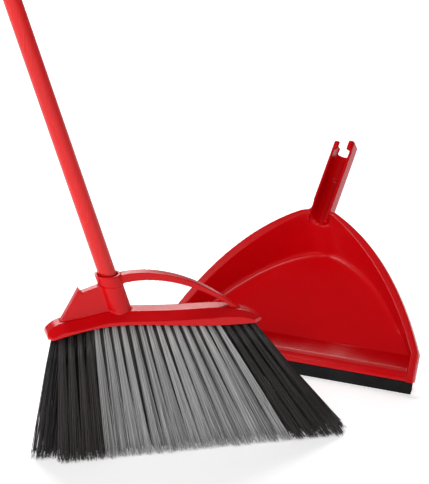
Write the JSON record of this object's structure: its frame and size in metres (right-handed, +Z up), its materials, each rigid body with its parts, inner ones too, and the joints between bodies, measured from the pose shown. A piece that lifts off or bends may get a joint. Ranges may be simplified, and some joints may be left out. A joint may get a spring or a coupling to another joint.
{
  "type": "broom and dustpan set",
  "caption": "Angle broom with a fanned bristle head, arched grip above the block and a long tubular handle, with a clip-on lipped dustpan standing on its lip behind it.",
  "frame": {"origin": "on the floor, under the middle of the whole set's box", "axes": "+X along the broom block towards the long, fanned end of the bristles; +Y from the broom back to the dustpan; +Z up"},
  "size_m": [0.7394, 0.3414, 1.3412],
  "materials": {
    "red_plastic": "glossy moulded polypropylene",
    "red_coated_steel": "glossy red coating on thin steel tube",
    "black_bristle": "fine flagged synthetic filament",
    "grey_bristle": "fine flagged synthetic filament",
    "lip_rubber": "smooth matt black rubber",
    "inner_plastic": "moulded plug and screw thread",
    "staple_steel": "flat anchor wire"
  },
  "bodies": {
    "dustpan": {"dustpan_body": "red_plastic", "rubber_lip": "lip_rubber"},
    "head": {"broom_head": "red_plastic", "black_tufts_left_front": "black_bristle", "grey_tufts_front": "grey_bristle", "black_tufts_right_front": "black_bristle", "black_tufts_left_front_inner": "black_bristle", "grey_tufts_front_inner": "grey_bristle", "black_tufts_right_front_inner": "black_bristle", "black_tufts_left_back_inner": "black_bristle", "grey_tufts_back_inner": "grey_bristle", "black_tufts_right_back_inner": "black_bristle", "black_tufts_left_back": "black_bristle", "grey_tufts_back": "grey_bristle", "black_tufts_right_back": "black_bristle", "tuft_staples_front": "staple_steel", "tuft_staples_front_inner": "staple_steel", "tuft_staples_back_inner": "staple_steel", "tuft_staples_back": "staple_steel"},
    "handle": {"screw_tip": "inner_plastic", "handle_tube": "red_coated_steel", "hang_cap": "red_plastic"}
  },
  "joints": [
    {"name": "broom_lift", "type": "slide", "parent": "dustpan", "child": "head", "axis": [0, 0, 1], "range_m": [0, 0.3]},
    {"name": "handle_draw", "type": "slide", "parent": "head", "child": "handle", "axis": [-0.2924, 0, 0.9563], "range_m": [0, 0.045]}
  ]
}
